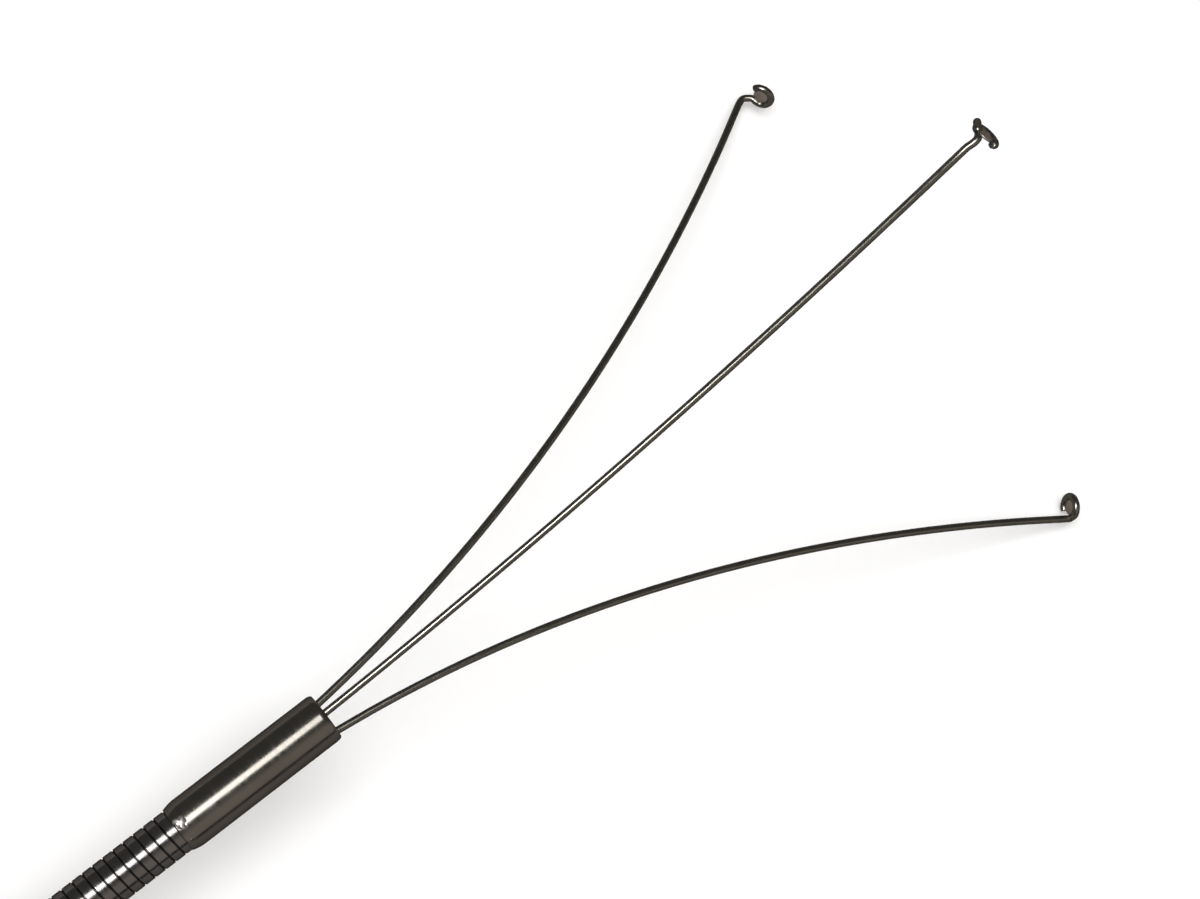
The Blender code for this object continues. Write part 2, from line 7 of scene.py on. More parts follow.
import bmesh
import bpy
import numpy as np
from mathutils import Euler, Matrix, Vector


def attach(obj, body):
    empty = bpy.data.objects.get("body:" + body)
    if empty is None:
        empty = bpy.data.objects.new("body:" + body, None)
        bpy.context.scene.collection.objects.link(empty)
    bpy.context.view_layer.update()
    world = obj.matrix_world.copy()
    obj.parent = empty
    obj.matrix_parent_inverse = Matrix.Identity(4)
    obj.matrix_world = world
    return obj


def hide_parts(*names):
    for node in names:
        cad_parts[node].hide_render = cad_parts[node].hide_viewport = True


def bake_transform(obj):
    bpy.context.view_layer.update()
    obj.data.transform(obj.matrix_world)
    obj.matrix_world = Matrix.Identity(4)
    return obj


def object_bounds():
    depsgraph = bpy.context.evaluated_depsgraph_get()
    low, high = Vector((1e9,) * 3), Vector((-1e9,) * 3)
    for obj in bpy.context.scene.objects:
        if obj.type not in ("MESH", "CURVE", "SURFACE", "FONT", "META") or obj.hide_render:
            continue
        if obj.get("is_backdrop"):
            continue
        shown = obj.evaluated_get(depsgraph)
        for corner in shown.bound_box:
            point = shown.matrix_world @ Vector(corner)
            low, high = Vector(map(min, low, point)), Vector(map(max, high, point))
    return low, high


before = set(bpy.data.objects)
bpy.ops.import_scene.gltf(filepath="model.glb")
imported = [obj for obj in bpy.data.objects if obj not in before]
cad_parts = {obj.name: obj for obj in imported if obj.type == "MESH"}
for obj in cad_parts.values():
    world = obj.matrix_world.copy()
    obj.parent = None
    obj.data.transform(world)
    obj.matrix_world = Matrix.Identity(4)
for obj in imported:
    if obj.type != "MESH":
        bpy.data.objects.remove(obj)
cad_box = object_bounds()
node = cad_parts
MM = 0.001

# Camera. The photograph was taken close up through a long lens that looks steeply down on the
# hooks, with the instrument running up the frame from its lower left corner.
CAMERA_PLACE = (2.6 * MM, 38.914 * MM, 139.021 * MM)
CAMERA_TURN = (17.3389, -4.7988, -38.6211)

lens = bpy.data.cameras.new("camera")
lens.lens = 84.39
lens.sensor_width = 36
lens.clip_start = MM
camera = bpy.data.objects.new("camera", lens)
camera.location = CAMERA_PLACE
camera.rotation_euler = Euler([math.radians(a) for a in CAMERA_TURN])
bpy.context.scene.collection.objects.link(camera)
bpy.context.scene.camera = camera
bpy.context.scene.view_settings.view_transform = "Standard"

# Flexible sheath, as far as it is free: a flat steel wire wound turn against turn into a
# tube. From the head it runs into the wound length, four layers deep, and on to the handle.
SHEATH_R = 1.15 * MM
SHEATH_PITCH = 0.59 * MM
GROOVE_DEPTH = 0.12 * MM
HEAD_RISE = math.radians(4.431481)
MOUTH = np.array([18.5, 62, 5.964]) * MM
AXIS = np.array([math.cos(HEAD_RISE), 0, math.sin(HEAD_RISE)])
DISTAL_LENGTH = 62 * MM
CORD_GAP = 0.3 * MM
CORD_STRAIGHT = 2.6 * MM
COIL_CENTRE = np.array([-77, 31, 0]) * MM
COIL_MEAN_R = 20.6 * MM
COIL_STEP = 2.37 * MM
COIL_LAYERS = 4
LAYER_TURNS = 4.125
CLIMBS_PER_TURN = 3
WINDING_POINTS = 1400
COIL_FLOOR = 0.7 * MM
COIL_STRAIGHT = 11.4 * MM
COIL_REACH = LAYER_TURNS * COIL_STEP / 2
HANDLE_HEIGHT = 7 * MM
NOSE = np.array([-45.3 * MM, 0, HANDLE_HEIGHT])


def route(points, step):
    """Catmull-Rom: between two points the curve is the cubic whose slope at each of them is
    half of what the points beside it span."""
    points = np.array(points, float)
    padded = np.vstack([2 * points[0] - points[1], points, 2 * points[-1] - points[-2]])
    found = []
    for p0, p1, p2, p3 in zip(padded, padded[1:], padded[2:], padded[3:]):
        count = max(2, round(float(np.linalg.norm(p2 - p1)) / step))
        t = (np.arange(count) / count)[:, None]
        bend = (2 * p0 - 5 * p1 + 4 * p2 - p3) * t**2 + (3 * p1 - p0 - 3 * p2 + p3) * t**3
        found.append(0.5 * (2 * p1 + (p2 - p0) * t + bend))
    return np.vstack([*found, points[-1:]])


def glide(start, end):
    """Points from one place to another: X grows evenly, and Y and Z by 3 t^2 - 2 t^3."""
    share = np.linspace(0, 1, 4)[:, None]
    eased = share * share * (3 - 2 * share)
    return start + (end - start) * np.hstack([share, eased, eased])


def winding():
    """A flat spiral in each layer: the radius falls by one step a turn in the even layers and
    grows in the odd ones, and the height climbs one diameter in a third of a turn between."""
    turn = np.linspace(0, COIL_LAYERS * LAYER_TURNS, WINDING_POINTS)
    layer = np.minimum(turn // LAYER_TURNS, COIL_LAYERS - 1)
    within = turn - layer * LAYER_TURNS
    radius = COIL_MEAN_R + (COIL_REACH - within * COIL_STEP) * np.where(layer % 2, -1, 1)
    climb = np.zeros_like(turn)
    for edge in range(1, COIL_LAYERS):
        t = np.clip((turn - edge * LAYER_TURNS) * CLIMBS_PER_TURN + 0.5, 0, 1)
        climb += t * t * (3 - 2 * t)
    angle = math.pi / 2 + math.tau * turn
    height = COIL_FLOOR + SHEATH_R + climb * 2 * SHEATH_R
    return COIL_CENTRE + np.stack([radius * np.cos(angle), radius * np.sin(angle), height], 1)


def growing(lengths):
    """What the lengths add up to, from nothing before the first to all after the last."""
    return np.concatenate([[0], np.cumsum(lengths)])


def along(path, distance):
    """The point of a path at each distance along it, with two unit vectors square to the path
    that turn as little as they can from one of its points to the next."""
    run = growing(np.linalg.norm(np.diff(path, axis=0), axis=1))
    ahead = np.gradient(path, run, axis=0)
    ahead /= np.linalg.norm(ahead, axis=1)[:, None]
    side = np.zeros_like(path)
    side[0] = np.cross(ahead[0], (0.0, 0.0, 1.0))
    side[0] /= np.linalg.norm(side[0])
    for i in range(1, len(path)):
        turned_on = side[i - 1] - ahead[i] * np.dot(side[i - 1], ahead[i])
        side[i] = turned_on / np.linalg.norm(turned_on)
    up = np.cross(side, ahead)
    return [
        np.stack([np.interp(distance, run, line[:, k]) for k in range(3)], axis=-1)
        for line in (path, side, up)
    ]


def piece(name, points, quads, uv, rims=()):
    """A smooth closed mesh from points and four-cornered faces, with a UV pair in metres for
    each corner. A fan from its middle closes each rim, which is a ring of points."""
    faces = quads.tolist()
    for number, rim in enumerate(rims):
        faces += [[a, b, len(points) + number] for a, b in zip(rim, rim[1:] + rim[:1])]
    points = np.vstack([points, *[points[rim].mean(axis=0) for rim in rims]])
    mesh = bpy.data.meshes.new(name)
    mesh.from_pydata(points, [], faces)
    corner = np.zeros(len(mesh.loops), np.int32)
    mesh.loops.foreach_get("vertex_index", corner)
    flat = points[corner][:, :2].astype(np.float32)
    flat[: len(uv)] = uv
    mesh.uv_layers.new(name="surface").data.foreach_set("uv", flat.ravel())
    bm = bmesh.new()
    bm.from_mesh(mesh)
    bmesh.ops.recalc_face_normals(bm, faces=bm.faces)
    bm.to_mesh(mesh)
    bm.free()
    mesh.polygons.foreach_set("use_smooth", np.ones(len(mesh.polygons), bool))
    made = bpy.data.objects.new(name, mesh)
    bpy.context.scene.collection.objects.link(made)
    return made


def flat_wire(name, path, start, end, sides, profile):
    """A wire wound round a path. A point of turn n at angle a lies at the distance
    pitch * (n + a / 2 pi + share) along the path, and as far out as the profile says for that
    share of the pitch. Each turn's last edge is the next turn's first; a fan closes each end."""
    turns = int((end - start) / SHEATH_PITCH) - 1
    count = len(profile)
    share, reach = np.array(profile).T
    step = np.arange(turns * sides + 1)
    angle = math.tau * step / sides
    distance = start + SHEATH_PITCH * (step[:, None] / sides + share)
    centre, side, up = along(path, distance)
    out = side * np.cos(angle)[:, None, None] - up * np.sin(angle)[:, None, None]
    points = (centre + out * reach[:, None]).reshape(-1, 3)
    this = step[:-1, None] * count + np.arange(count)
    after = this + 1
    after[:, -1] = this[:, 0] + sides * count
    quads = np.stack([this, after, after + count, this + count], axis=-1).reshape(-1, 4)
    kept = quads.max(axis=1) < len(points)
    around = np.stack([angle[:-1], angle[:-1], angle[1:], angle[1:]], axis=-1) * SHEATH_R
    around = np.repeat(around, count, axis=0)[kept]
    quads = quads[kept]
    uv = np.stack([distance.ravel()[quads], around], axis=-1).reshape(-1, 2)
    last = turns * sides
    first_edge = [i * count for i in range(sides + 1)] + list(range(count - 1, 0, -1))
    last_edge = [i * count + count - 1 for i in range(last - sides, last + 1)]
    last_edge += [last * count + k for k in range(count - 2, -1, -1)]
    return piece(name, points, quads, uv, [first_edge, last_edge])


def shader(tree, kind, inputs=(), **settings):
    """A node with its settings, its inputs set to values or joined to other nodes' outputs."""
    made = tree.nodes.new(kind)
    for name, value in settings.items():
        setattr(made, name, value)
    for socket, value in dict(inputs).items():
        if isinstance(value, bpy.types.NodeSocket):
            tree.links.new(value, made.inputs[socket])
        else:
            made.inputs[socket].default_value = value
    return made


def blend_colours(tree, share, first, second):
    """Mixes two colours, each an RGB triple or another node's output."""
    first, second = [(*c, 1) if isinstance(c, tuple) else c for c in (first, second)]
    mixed = shader(tree, "ShaderNodeMix", {0: share, 6: first, 7: second}, data_type="RGBA")
    return mixed.outputs[2]


def spread(tree, value, low, high, new_low, new_high):
    """Maps a value from one range to another, holding it at both ends."""
    numbers = {0: value, 1: low, 2: high, 3: new_low, 4: new_high}
    return shader(tree, "ShaderNodeMapRange", numbers).outputs[0]


def sums(tree, operation, first, second=0.0):
    return shader(tree, "ShaderNodeMath", {0: first, 1: second}, operation=operation).outputs[0]


def material(name):
    made = bpy.data.materials.new(name)
    made.use_nodes = True
    made.node_tree.nodes.clear()
    return made, made.node_tree


def group(name, **inputs):
    """A node group that takes Place and the inputs given, and puts out Colour, Roughness and
    Height. Gives the group with its input's and its output's node."""
    kinds = {tuple: "NodeSocketColor", float: "NodeSocketFloat"}
    made = bpy.data.node_groups.new(name, "ShaderNodeTree")
    made.interface.new_socket("Place", in_out="INPUT", socket_type="NodeSocketVector")
    for label, value in inputs.items():
        kind = kinds[type(value)]
        made.interface.new_socket(label, in_out="INPUT", socket_type=kind).default_value = value
    for label, kind in {"Colour": tuple, "Roughness": float, "Height": float}.items():
        made.interface.new_socket(label, in_out="OUTPUT", socket_type=kinds[kind])
    return made, made.nodes.new("NodeGroupInput"), made.nodes.new("NodeGroupOutput")


# Drawn steel: faint stains, and hairlines along the second direction of the place it reads,
# which is the length of a swept piece.
drawn_marks, given, result = group(
    "drawn_marks", Scale=900.0, Clean=(1.0, 1.0, 1.0, 1.0), Stained=(1.0, 1.0, 1.0, 1.0), Gloss=0.2
)
stretch = shader(drawn_marks, "ShaderNodeCombineXYZ", {
    0: given.outputs["Scale"],
    1: sums(drawn_marks, "MULTIPLY", given.outputs["Scale"], 0.12),
    2: given.outputs["Scale"],
})
stretched = shader(drawn_marks, "ShaderNodeVectorMath", {
    0: given.outputs["Place"], 1: stretch.outputs[0]}, operation="MULTIPLY")
hair = shader(drawn_marks, "ShaderNodeTexNoise", {
    "Vector": stretched.outputs[0], "Scale": 6, "Detail": 4, "Roughness": 0.6})
cloud = shader(drawn_marks, "ShaderNodeTexNoise", {
    "Vector": given.outputs["Place"],
    "Scale": sums(drawn_marks, "MULTIPLY", given.outputs["Scale"], 0.4), "Detail": 3})
tint = blend_colours(
    drawn_marks, cloud.outputs["Fac"], given.outputs["Clean"], given.outputs["Stained"])
unevenness = spread(drawn_marks, hair.outputs["Fac"], 0.3, 0.7, 0.75, 1.3)
rough = sums(drawn_marks, "MULTIPLY", given.outputs["Gloss"], unevenness)
for socket, value in zip(result.inputs, (tint, rough, hair.outputs["Fac"])):
    drawn_marks.links.new(value, socket)


# Painted shade: the colour the sheath's grooves darken to between its turns.
PAINTED_SHADE_BLACK = (0.02, 0.019, 0.017)
RIM_TINT = (0.35, 0.34, 0.32, 1)


def steel(name, clean, stained, gloss, scale, uv=True, shade=None):
    """Stainless steel with drawn marks, on the piece's own UV or on Object coordinates. A shade
    is a function that gives the share of painted shade by which the surface darkens from place to
    place."""
    made, tree = material(name)
    if uv:
        place = shader(tree, "ShaderNodeUVMap", uv_map="surface").outputs[0]
    else:
        place = shader(tree, "ShaderNodeTexCoord").outputs["Object"]
    marks = shader(tree, "ShaderNodeGroup", {
        "Place": place, "Scale": float(scale), "Clean": (*clean, 1), "Stained": (*stained, 1),
        "Gloss": gloss}, node_tree=drawn_marks)
    colour = marks.outputs["Colour"]
    if shade:
        colour = blend_colours(tree, shade(tree, place), colour, PAINTED_SHADE_BLACK)
    lift = shader(tree, "ShaderNodeBump", {
        "Height": marks.outputs["Height"], "Strength": 0.08, "Distance": 0.02 * MM})
    body = shader(tree, "ShaderNodeBsdfPrincipled", {
        "Base Color": colour, "Metallic": 1.0, "Specular Tint": RIM_TINT,
        "Roughness": marks.outputs["Roughness"], "Normal": lift.outputs[0]})
    shader(tree, "ShaderNodeOutputMaterial", {"Surface": body.outputs[0]})
    return made


BAND_SHARE = 0.82
GROOVE_SHARE = 0.87
GROOVE_SHADE = 0.8


def groove_painted_shade(tree, place):
    """Painted shade in the groove where two turns meet. With the share of the pitch s = distance /
    pitch - a / 2 pi, the painted shade rises where the fraction of s goes from the band's share to
    the groove's."""
    part = shader(tree, "ShaderNodeSeparateXYZ", {0: place})
    turns = sums(tree, "MULTIPLY", part.outputs[0], 1 / SHEATH_PITCH)
    angle = sums(tree, "MULTIPLY", part.outputs[1], 1 / (math.tau * SHEATH_R))
    share = sums(tree, "FRACT", sums(tree, "SUBTRACT", turns, angle))
    return spread(tree, share, BAND_SHARE, GROOVE_SHARE, 0.0, GROOVE_SHADE)


def wear(thing, look):
    """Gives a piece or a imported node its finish."""
    thing.data.materials.clear()
    thing.data.materials.append(look)


back = MOUTH - AXIS * (DISTAL_LENGTH + CORD_GAP)
meets = COIL_CENTRE + [COIL_STRAIGHT, COIL_MEAN_R + COIL_REACH, COIL_FLOOR + SHEATH_R]
top = COIL_FLOOR + SHEATH_R * (2 * COIL_LAYERS - 1)
leaves = COIL_CENTRE + [COIL_STRAIGHT, -COIL_MEAN_R - COIL_REACH, top]
low_down = back - AXIS * CORD_STRAIGHT
low_down[2] = SHEATH_R + CORD_GAP / 8
lead = route([back, *glide(low_down, meets)], 1 * MM)
tail = route([*glide(leaves, NOSE - [CORD_STRAIGHT, 0, 0]), NOSE], 1 * MM)
cord_path = np.vstack([lead, winding(), tail])
cord_run = float(np.linalg.norm(np.diff(cord_path, axis=0), axis=1).sum())
WOUND_SIDES = 12
ROUNDED = [(0, SHEATH_R), (0.6, SHEATH_R - GROOVE_DEPTH)]
into_relief = np.vstack([cord_path, NOSE + [CORD_STRAIGHT, 0, 0]])
wire_end = cord_run + 2 * SHEATH_PITCH
sheath = flat_wire("sheath_wound", into_relief, 0, wire_end, WOUND_SIDES, ROUNDED)
# The sheath's steel is darkened towards black in the grooves between turns, as painted shade.
sheath_steel = steel(
    "sheath_steel", (0.23, 0.222, 0.218), (0.18, 0.172, 0.168), 0.17, 900, shade=groove_painted_shade
)
wear(sheath, sheath_steel)
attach(sheath, "root")
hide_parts("sheath_lead", "sheath_coil", "sheath_tail")

# Ties of the wound length: three soft pale straps, each pulled once round the coil's section,
# with its end lying on itself on top.
TIE_THICK = 0.4 * MM
TIE_WIDTH = 3 * MM
TIE_TURNS = (60, 180, 300)
TIE_CORNER = 1.4 * MM
TIE_SPARE = 3.6 * MM
TIE_SPARE_LIFT = 1.03 * TIE_THICK
CORNER_STEPS = 9


def rounded(half_wide, half_deep, power, count):
    """A rounded rectangle: (w |cos t|^(2/n), d |sin t|^(2/n)), with the signs of cos and sin."""
    t = math.tau * np.arange(count) / count
    turns = np.stack([np.cos(t), np.sin(t)], axis=-1)
    return np.sign(turns) * np.abs(turns) ** (2 / power) * (half_wide, half_deep)


def swept(name, centre, first, second, section, loop=False):
    """A section carried along a path. Ring i is centre_i + first_i * u + second_i * v for each
    (u, v) of the section. A loop joins its last ring to its first, else a fan closes each end."""
    rings = len(centre)
    section = np.broadcast_to(section, (rings, *np.shape(section)[-2:]))
    count = section.shape[1]
    spoke = first[:, None] * section[..., :1] + second[:, None] * section[..., 1:]
    points = centre[:, None] + spoke
    i, j = np.meshgrid(np.arange(rings if loop else rings - 1), np.arange(count), indexing="ij")
    i, j = i.ravel(), j.ravel()
    this, after = i * count, (i + 1) % rings * count
    quads = np.stack([this + j, after + j, after + (j + 1) % count, this + (j + 1) % count], -1)
    run = growing(np.linalg.norm(np.roll(points, -1, axis=0) - points, axis=2).mean(axis=1))
    girth = growing(np.linalg.norm(np.roll(points, -1, axis=1) - points, axis=2).mean(axis=0))
    uv = np.stack([girth[[j, j, j + 1, j + 1]], run[[i, i + 1, i + 1, i]]], -1)
    uv = uv.transpose(1, 0, 2).reshape(-1, 2)
    ends = [] if loop else [list(range(count)), list(range((rings - 1) * count, rings * count))]
    return piece(name, points.reshape(-1, 3), quads, uv, ends)


# Moulded plastic: a fine even grain, with cloudy tone and a few pale scuffs.
moulded_grain, given, result = group(
    "moulded_grain", Grain=9000.0, Fresh=(1.0, 1.0, 1.0, 1.0), Scuffed=(1.0, 1.0, 1.0, 1.0),
    Gloss=0.5
)
pebbles = shader(moulded_grain, "ShaderNodeTexNoise", {
    "Vector": given.outputs["Place"], "Scale": given.outputs["Grain"], "Detail": 2})
cloud = shader(moulded_grain, "ShaderNodeTexNoise", {
    "Vector": given.outputs["Place"],
    "Scale": sums(moulded_grain, "MULTIPLY", given.outputs["Grain"], 0.02), "Detail": 4})
rubs = shader(moulded_grain, "ShaderNodeTexNoise", {
    "Vector": given.outputs["Place"],
    "Scale": sums(moulded_grain, "MULTIPLY", given.outputs["Grain"], 0.07), "Detail": 5,
    "Distortion": 1.5})
scuff = spread(moulded_grain, rubs.outputs["Fac"], 0.6, 0.72, 0.0, 0.45)
share = sums(moulded_grain, "MAXIMUM", scuff,
             spread(moulded_grain, cloud.outputs["Fac"], 0.3, 0.8, 0.0, 0.4))
tint = blend_colours(moulded_grain, share, given.outputs["Fresh"], given.outputs["Scuffed"])
unevenness = spread(moulded_grain, cloud.outputs["Fac"], 0.3, 0.7, 0.85, 1.2)
rough = sums(moulded_grain, "MULTIPLY", given.outputs["Gloss"], unevenness)
for socket, value in zip(result.inputs, (tint, rough, pebbles.outputs["Fac"])):
    moulded_grain.links.new(value, socket)


def plastic(name, fresh, scuffed, gloss, grain, relief):
    """Moulded plastic on Object coordinates; relief is how strongly its grain shows."""
    made, tree = material(name)
    place = shader(tree, "ShaderNodeTexCoord").outputs["Object"]
    marks = shader(tree, "ShaderNodeGroup", {
        "Place": place, "Grain": float(grain), "Fresh": (*fresh, 1), "Scuffed": (*scuffed, 1),
        "Gloss": gloss}, node_tree=moulded_grain)
    lift = shader(tree, "ShaderNodeBump", {
        "Height": marks.outputs["Height"], "Strength": relief, "Distance": 0.04 * MM})
    body = shader(tree, "ShaderNodeBsdfPrincipled", {
        "Base Color": marks.outputs["Colour"], "Roughness": marks.outputs["Roughness"],
        "Normal": lift.outputs[0]})
    shader(tree, "ShaderNodeOutputMaterial", {"Surface": body.outputs[0]})
    return made


tie_strap = plastic("tie_strap", (0.75, 0.76, 0.78), (0.6, 0.62, 0.64), 0.5, 6000, 0.12)
tie_low = COIL_FLOOR - CORD_GAP
tie_high = COIL_FLOOR + 2 * SHEATH_R * COIL_LAYERS + CORD_GAP
flat_out = COIL_REACH + SHEATH_R + CORD_GAP + TIE_THICK / 2 - TIE_CORNER
flat_up = (tie_high - tie_low + TIE_THICK) / 2 - TIE_CORNER
quarter = math.pi / 2
bends = [np.linspace(quarter - k * quarter, -k * quarter, CORNER_STEPS) for k in range(4)]
facing = np.concatenate([[quarter], *bends, [quarter] * 4])
corners = [(flat_out, flat_up), (flat_out, -flat_up), (-flat_out, -flat_up), (-flat_out, flat_up)]
spare = [(x, flat_up) for x in (-2.6 * MM, -0.4 * MM, TIE_SPARE / 2, TIE_SPARE)]
middles = np.array([(0, flat_up), *np.repeat(corners, CORNER_STEPS, axis=0), *spare])
lifted = np.where(np.arange(len(middles)) < len(middles) - 3, 0, TIE_SPARE_LIFT)
outward = np.stack([np.cos(facing), np.sin(facing)], axis=-1)
line = middles + outward * (TIE_CORNER + lifted[:, None])
for number, turn in enumerate(TIE_TURNS, 1):
    a = math.radians(turn)
    radial = np.array([math.cos(a), math.sin(a), 0])
    sideways = np.array([-math.sin(a), math.cos(a), 0])
    upward = np.array([0.0, 0.0, 1.0])
    middle = COIL_CENTRE + radial * COIL_MEAN_R + upward * (tie_low + tie_high) / 2
    strap = swept(
        f"coil_strap_{number}",
        middle + line[:, :1] * radial + line[:, 1:] * upward,
        outward[:, :1] * radial + outward[:, 1:] * upward,
        np.broadcast_to(sideways, (len(line), 3)),
        rounded(TIE_THICK / 2, TIE_WIDTH / 2, 5, 20),
    )
    wear(strap, tie_strap)
    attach(strap, "root")
    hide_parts(f"coil_tie_{number}")

# Floor and light: a plain pale table under soft lamps. The room above is dark and the steel
# mirrors the table darker than it is, which gives it its broad dark bands. One strip of light
# shows in the sleeve and the sheath, and a brighter one in the upper wire.
DARK_ROOM = (0.11, 0.107, 0.1)
PALE_WALL = (0.46, 0.42, 0.38)
WALL_FROM, WALL_FULL = -0.4, -0.72
HORIZON = (0.9, 0.9, 0.9)
HORIZON_HEIGHT = 0.06
FLOOR_HALF = 6.0
FLOOR_GLOW = 0.22
FLOOR_IN_STEEL = (0.3, 0.28, 0.27, 1)

floor_mesh = bpy.data.meshes.new("floor")
corner_signs = ((-1, -1), (1, -1), (1, 1), (-1, 1))
floor_corners = [(x * FLOOR_HALF, y * FLOOR_HALF, 0) for x, y in corner_signs]
floor_mesh.from_pydata(floor_corners, [], [(0, 1, 2, 3)])
floor = bpy.data.objects.new("floor", floor_mesh)
bpy.context.scene.collection.objects.link(floor)
floor_look, tree = material("pale_table")
matt = shader(tree, "ShaderNodeBsdfDiffuse", {"Color": (0.8, 0.8, 0.8, 1)})
glow = shader(tree, "ShaderNodeEmission", {"Color": (1, 1, 1, 1), "Strength": FLOOR_GLOW})
ray = shader(tree, "ShaderNodeLightPath")
seen = sums(tree, "MAXIMUM", ray.outputs["Is Camera Ray"], ray.outputs["Is Glossy Ray"])
seen = sums(tree, "MAXIMUM", seen, ray.outputs["Is Transmission Ray"])
none = shader(tree, "ShaderNodeEmission", {"Color": (0, 0, 0, 1), "Strength": 0})
lit = shader(tree, "ShaderNodeMixShader", {0: seen, 1: none.outputs[0], 2: glow.outputs[0]})
both = shader(tree, "ShaderNodeAddShader", {0: matt.outputs[0], 1: lit.outputs[0]})
mirrored = shader(tree, "ShaderNodeEmission", {"Color": FLOOR_IN_STEEL, "Strength": 1})
shown = {0: ray.outputs["Is Glossy Ray"], 1: both.outputs[0], 2: mirrored.outputs[0]}
shown = shader(tree, "ShaderNodeMixShader", shown)
shader(tree, "ShaderNodeOutputMaterial", {"Surface": shown.outputs[0]})
floor_mesh.materials.append(floor_look)
floor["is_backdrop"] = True

world = bpy.data.worlds.new("studio")
bpy.context.scene.world = world
world.use_nodes = True
tree = world.node_tree
tree.nodes.clear()
way = shader(tree, "ShaderNodeTexCoord")
way = shader(tree, "ShaderNodeSeparateXYZ", {0: way.outputs["Generated"]})
wall = spread(tree, way.outputs[1], WALL_FROM, WALL_FULL, 0, 1)
low = spread(tree, way.outputs[2], HORIZON_HEIGHT, 0, 0, 1)
room = blend_colours(tree, wall, DARK_ROOM, PALE_WALL)
room = blend_colours(tree, low, room, HORIZON)
sky = shader(tree, "ShaderNodeBackground", {"Color": room, "Strength": 1})
shader(tree, "ShaderNodeOutputWorld", {"Surface": sky.outputs[0]})

LAMPS = {
    # place, what it is aimed at and size in mm, power in watts, whether polished steel shows it
    "wide": ((60, 40, 620), (18.5, 62, 6), (700, 700), 5.0, False),
    "sleeve_strip": ((-11, 66, 366), (-11, 67, 0), (108, 146), 0.26, True),
    "wire_strip": ((-177, 66, 366), (-177, 67, 0), (190, 146), 1.8, True),
}
for name, (place, target, size, power, mirrored) in LAMPS.items():
    lamp = bpy.data.lights.new(name, "AREA")
    lamp.shape = "RECTANGLE"
    lamp.size, lamp.size_y = size[0] * MM, size[1] * MM
    lamp.energy = power
    holder = bpy.data.objects.new(name, lamp)
    holder.location = [p * MM for p in place]
    aim = Vector(target) - Vector(place)
    holder.rotation_euler = aim.to_track_quat("-Z", "Y").to_euler()
    holder.visible_glossy = mirrored
    holder.visible_diffuse = not mirrored
    bpy.context.scene.collection.objects.link(holder)

# Straight sheath behind the head: the same flat wire, its turns lying edge to edge with a
# fine slanting groove between them. Its front end is inside the sleeve.
SHEATH_SEAT = 3 * MM
STRAIGHT_SIDES = 40
BAND_DEPTHS = [
    # share of the pitch, and how far below the sheath's outside in mm
    (0.0, 0.022), (0.015, 0.006), (0.04, 0), (0.07, 0), (0.79, 0), (0.82, 0), (0.845, 0.006),
    (0.86, 0.022), (0.875, 0.06), (0.985, 0.06),
]
BAND = [(share, SHEATH_R - depth * MM) for share, depth in BAND_DEPTHS]
sheath_end = DISTAL_LENGTH + CORD_GAP + SHEATH_PITCH
straight = np.array([MOUTH - AXIS * d for d in np.linspace(SHEATH_SEAT, sheath_end, 60)])
straight_run = sheath_end - SHEATH_SEAT
distal = flat_wire("sheath_straight", straight, 0, straight_run, STRAIGHT_SIDES, BAND)
wear(distal, sheath_steel)
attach(distal, "root")
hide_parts("distal_sheath")

# Sleeve: a thin polished steel tube pushed over the sheath's end. Its mouth is rounded over,
# and its rear edge is pressed down on the sheath and held by one small spot weld on top.
SLEEVE_R = 1.3 * MM
SLEEVE_BORE_R = 1.18 * MM
SLEEVE_LENGTH = 8.8 * MM
LIP = 0.3 * MM
SLEEVE_SIDES = 72
PRESSED = [
    # ahead of the sleeve's rear edge, and how far pressed in, in mm
    (0.62, 0), (0.45, 0.012), (0.2, 0.06), (0.05, 0.1),
]
WELD_R = 0.31 * MM
WELD_HEIGHT = 0.09 * MM
WELD_SINK = 0.06 * MM
WELD_BACK = 8.45 * MM
WELD_LUMPS = (0.16, 0.13)
ACROSS = np.array([0.0, 1.0, 0.0])
ABOVE = np.array([-math.sin(HEAD_RISE), 0, math.cos(HEAD_RISE)])


def turned(name, section, sides, origin, axis, first, second):
    """A closed section of (radius, distance) turned about an axis: the point at angle a is
    origin + axis * distance + radius * (first cos a + second sin a)."""
    angle = math.tau * np.arange(sides) / sides
    out = first * np.cos(angle)[:, None] + second * np.sin(angle)[:, None]
    middle, heading = np.broadcast_to(origin, out.shape), np.broadcast_to(axis, out.shape)
    return swept(name, middle, out, heading, section, loop=True)


curl = np.radians(np.linspace(0, 90, 7))
wall = SLEEVE_R - SLEEVE_BORE_R
lip = np.stack([SLEEVE_BORE_R + wall * np.sin(curl), LIP * (np.cos(curl) - 1)], axis=-1)
back_edge = -SLEEVE_LENGTH
sleeve_section = [
    *lip,
    (SLEEVE_R, back_edge / 2),
    *[(SLEEVE_R - deep * MM, back_edge + on * MM) for on, deep in PRESSED],
    (SLEEVE_BORE_R, back_edge),
    (SLEEVE_BORE_R, back_edge / 2),
]
sleeve = turned("mouth_sleeve", sleeve_section, SLEEVE_SIDES, MOUTH, AXIS, ACROSS, ABOVE)
sleeve_steel = steel("sleeve_steel", (0.24, 0.225, 0.205), (0.17, 0.158, 0.14), 0.19, 700)
wear(sleeve, sleeve_steel)
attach(sleeve, "root")
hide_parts("distal_sleeve")

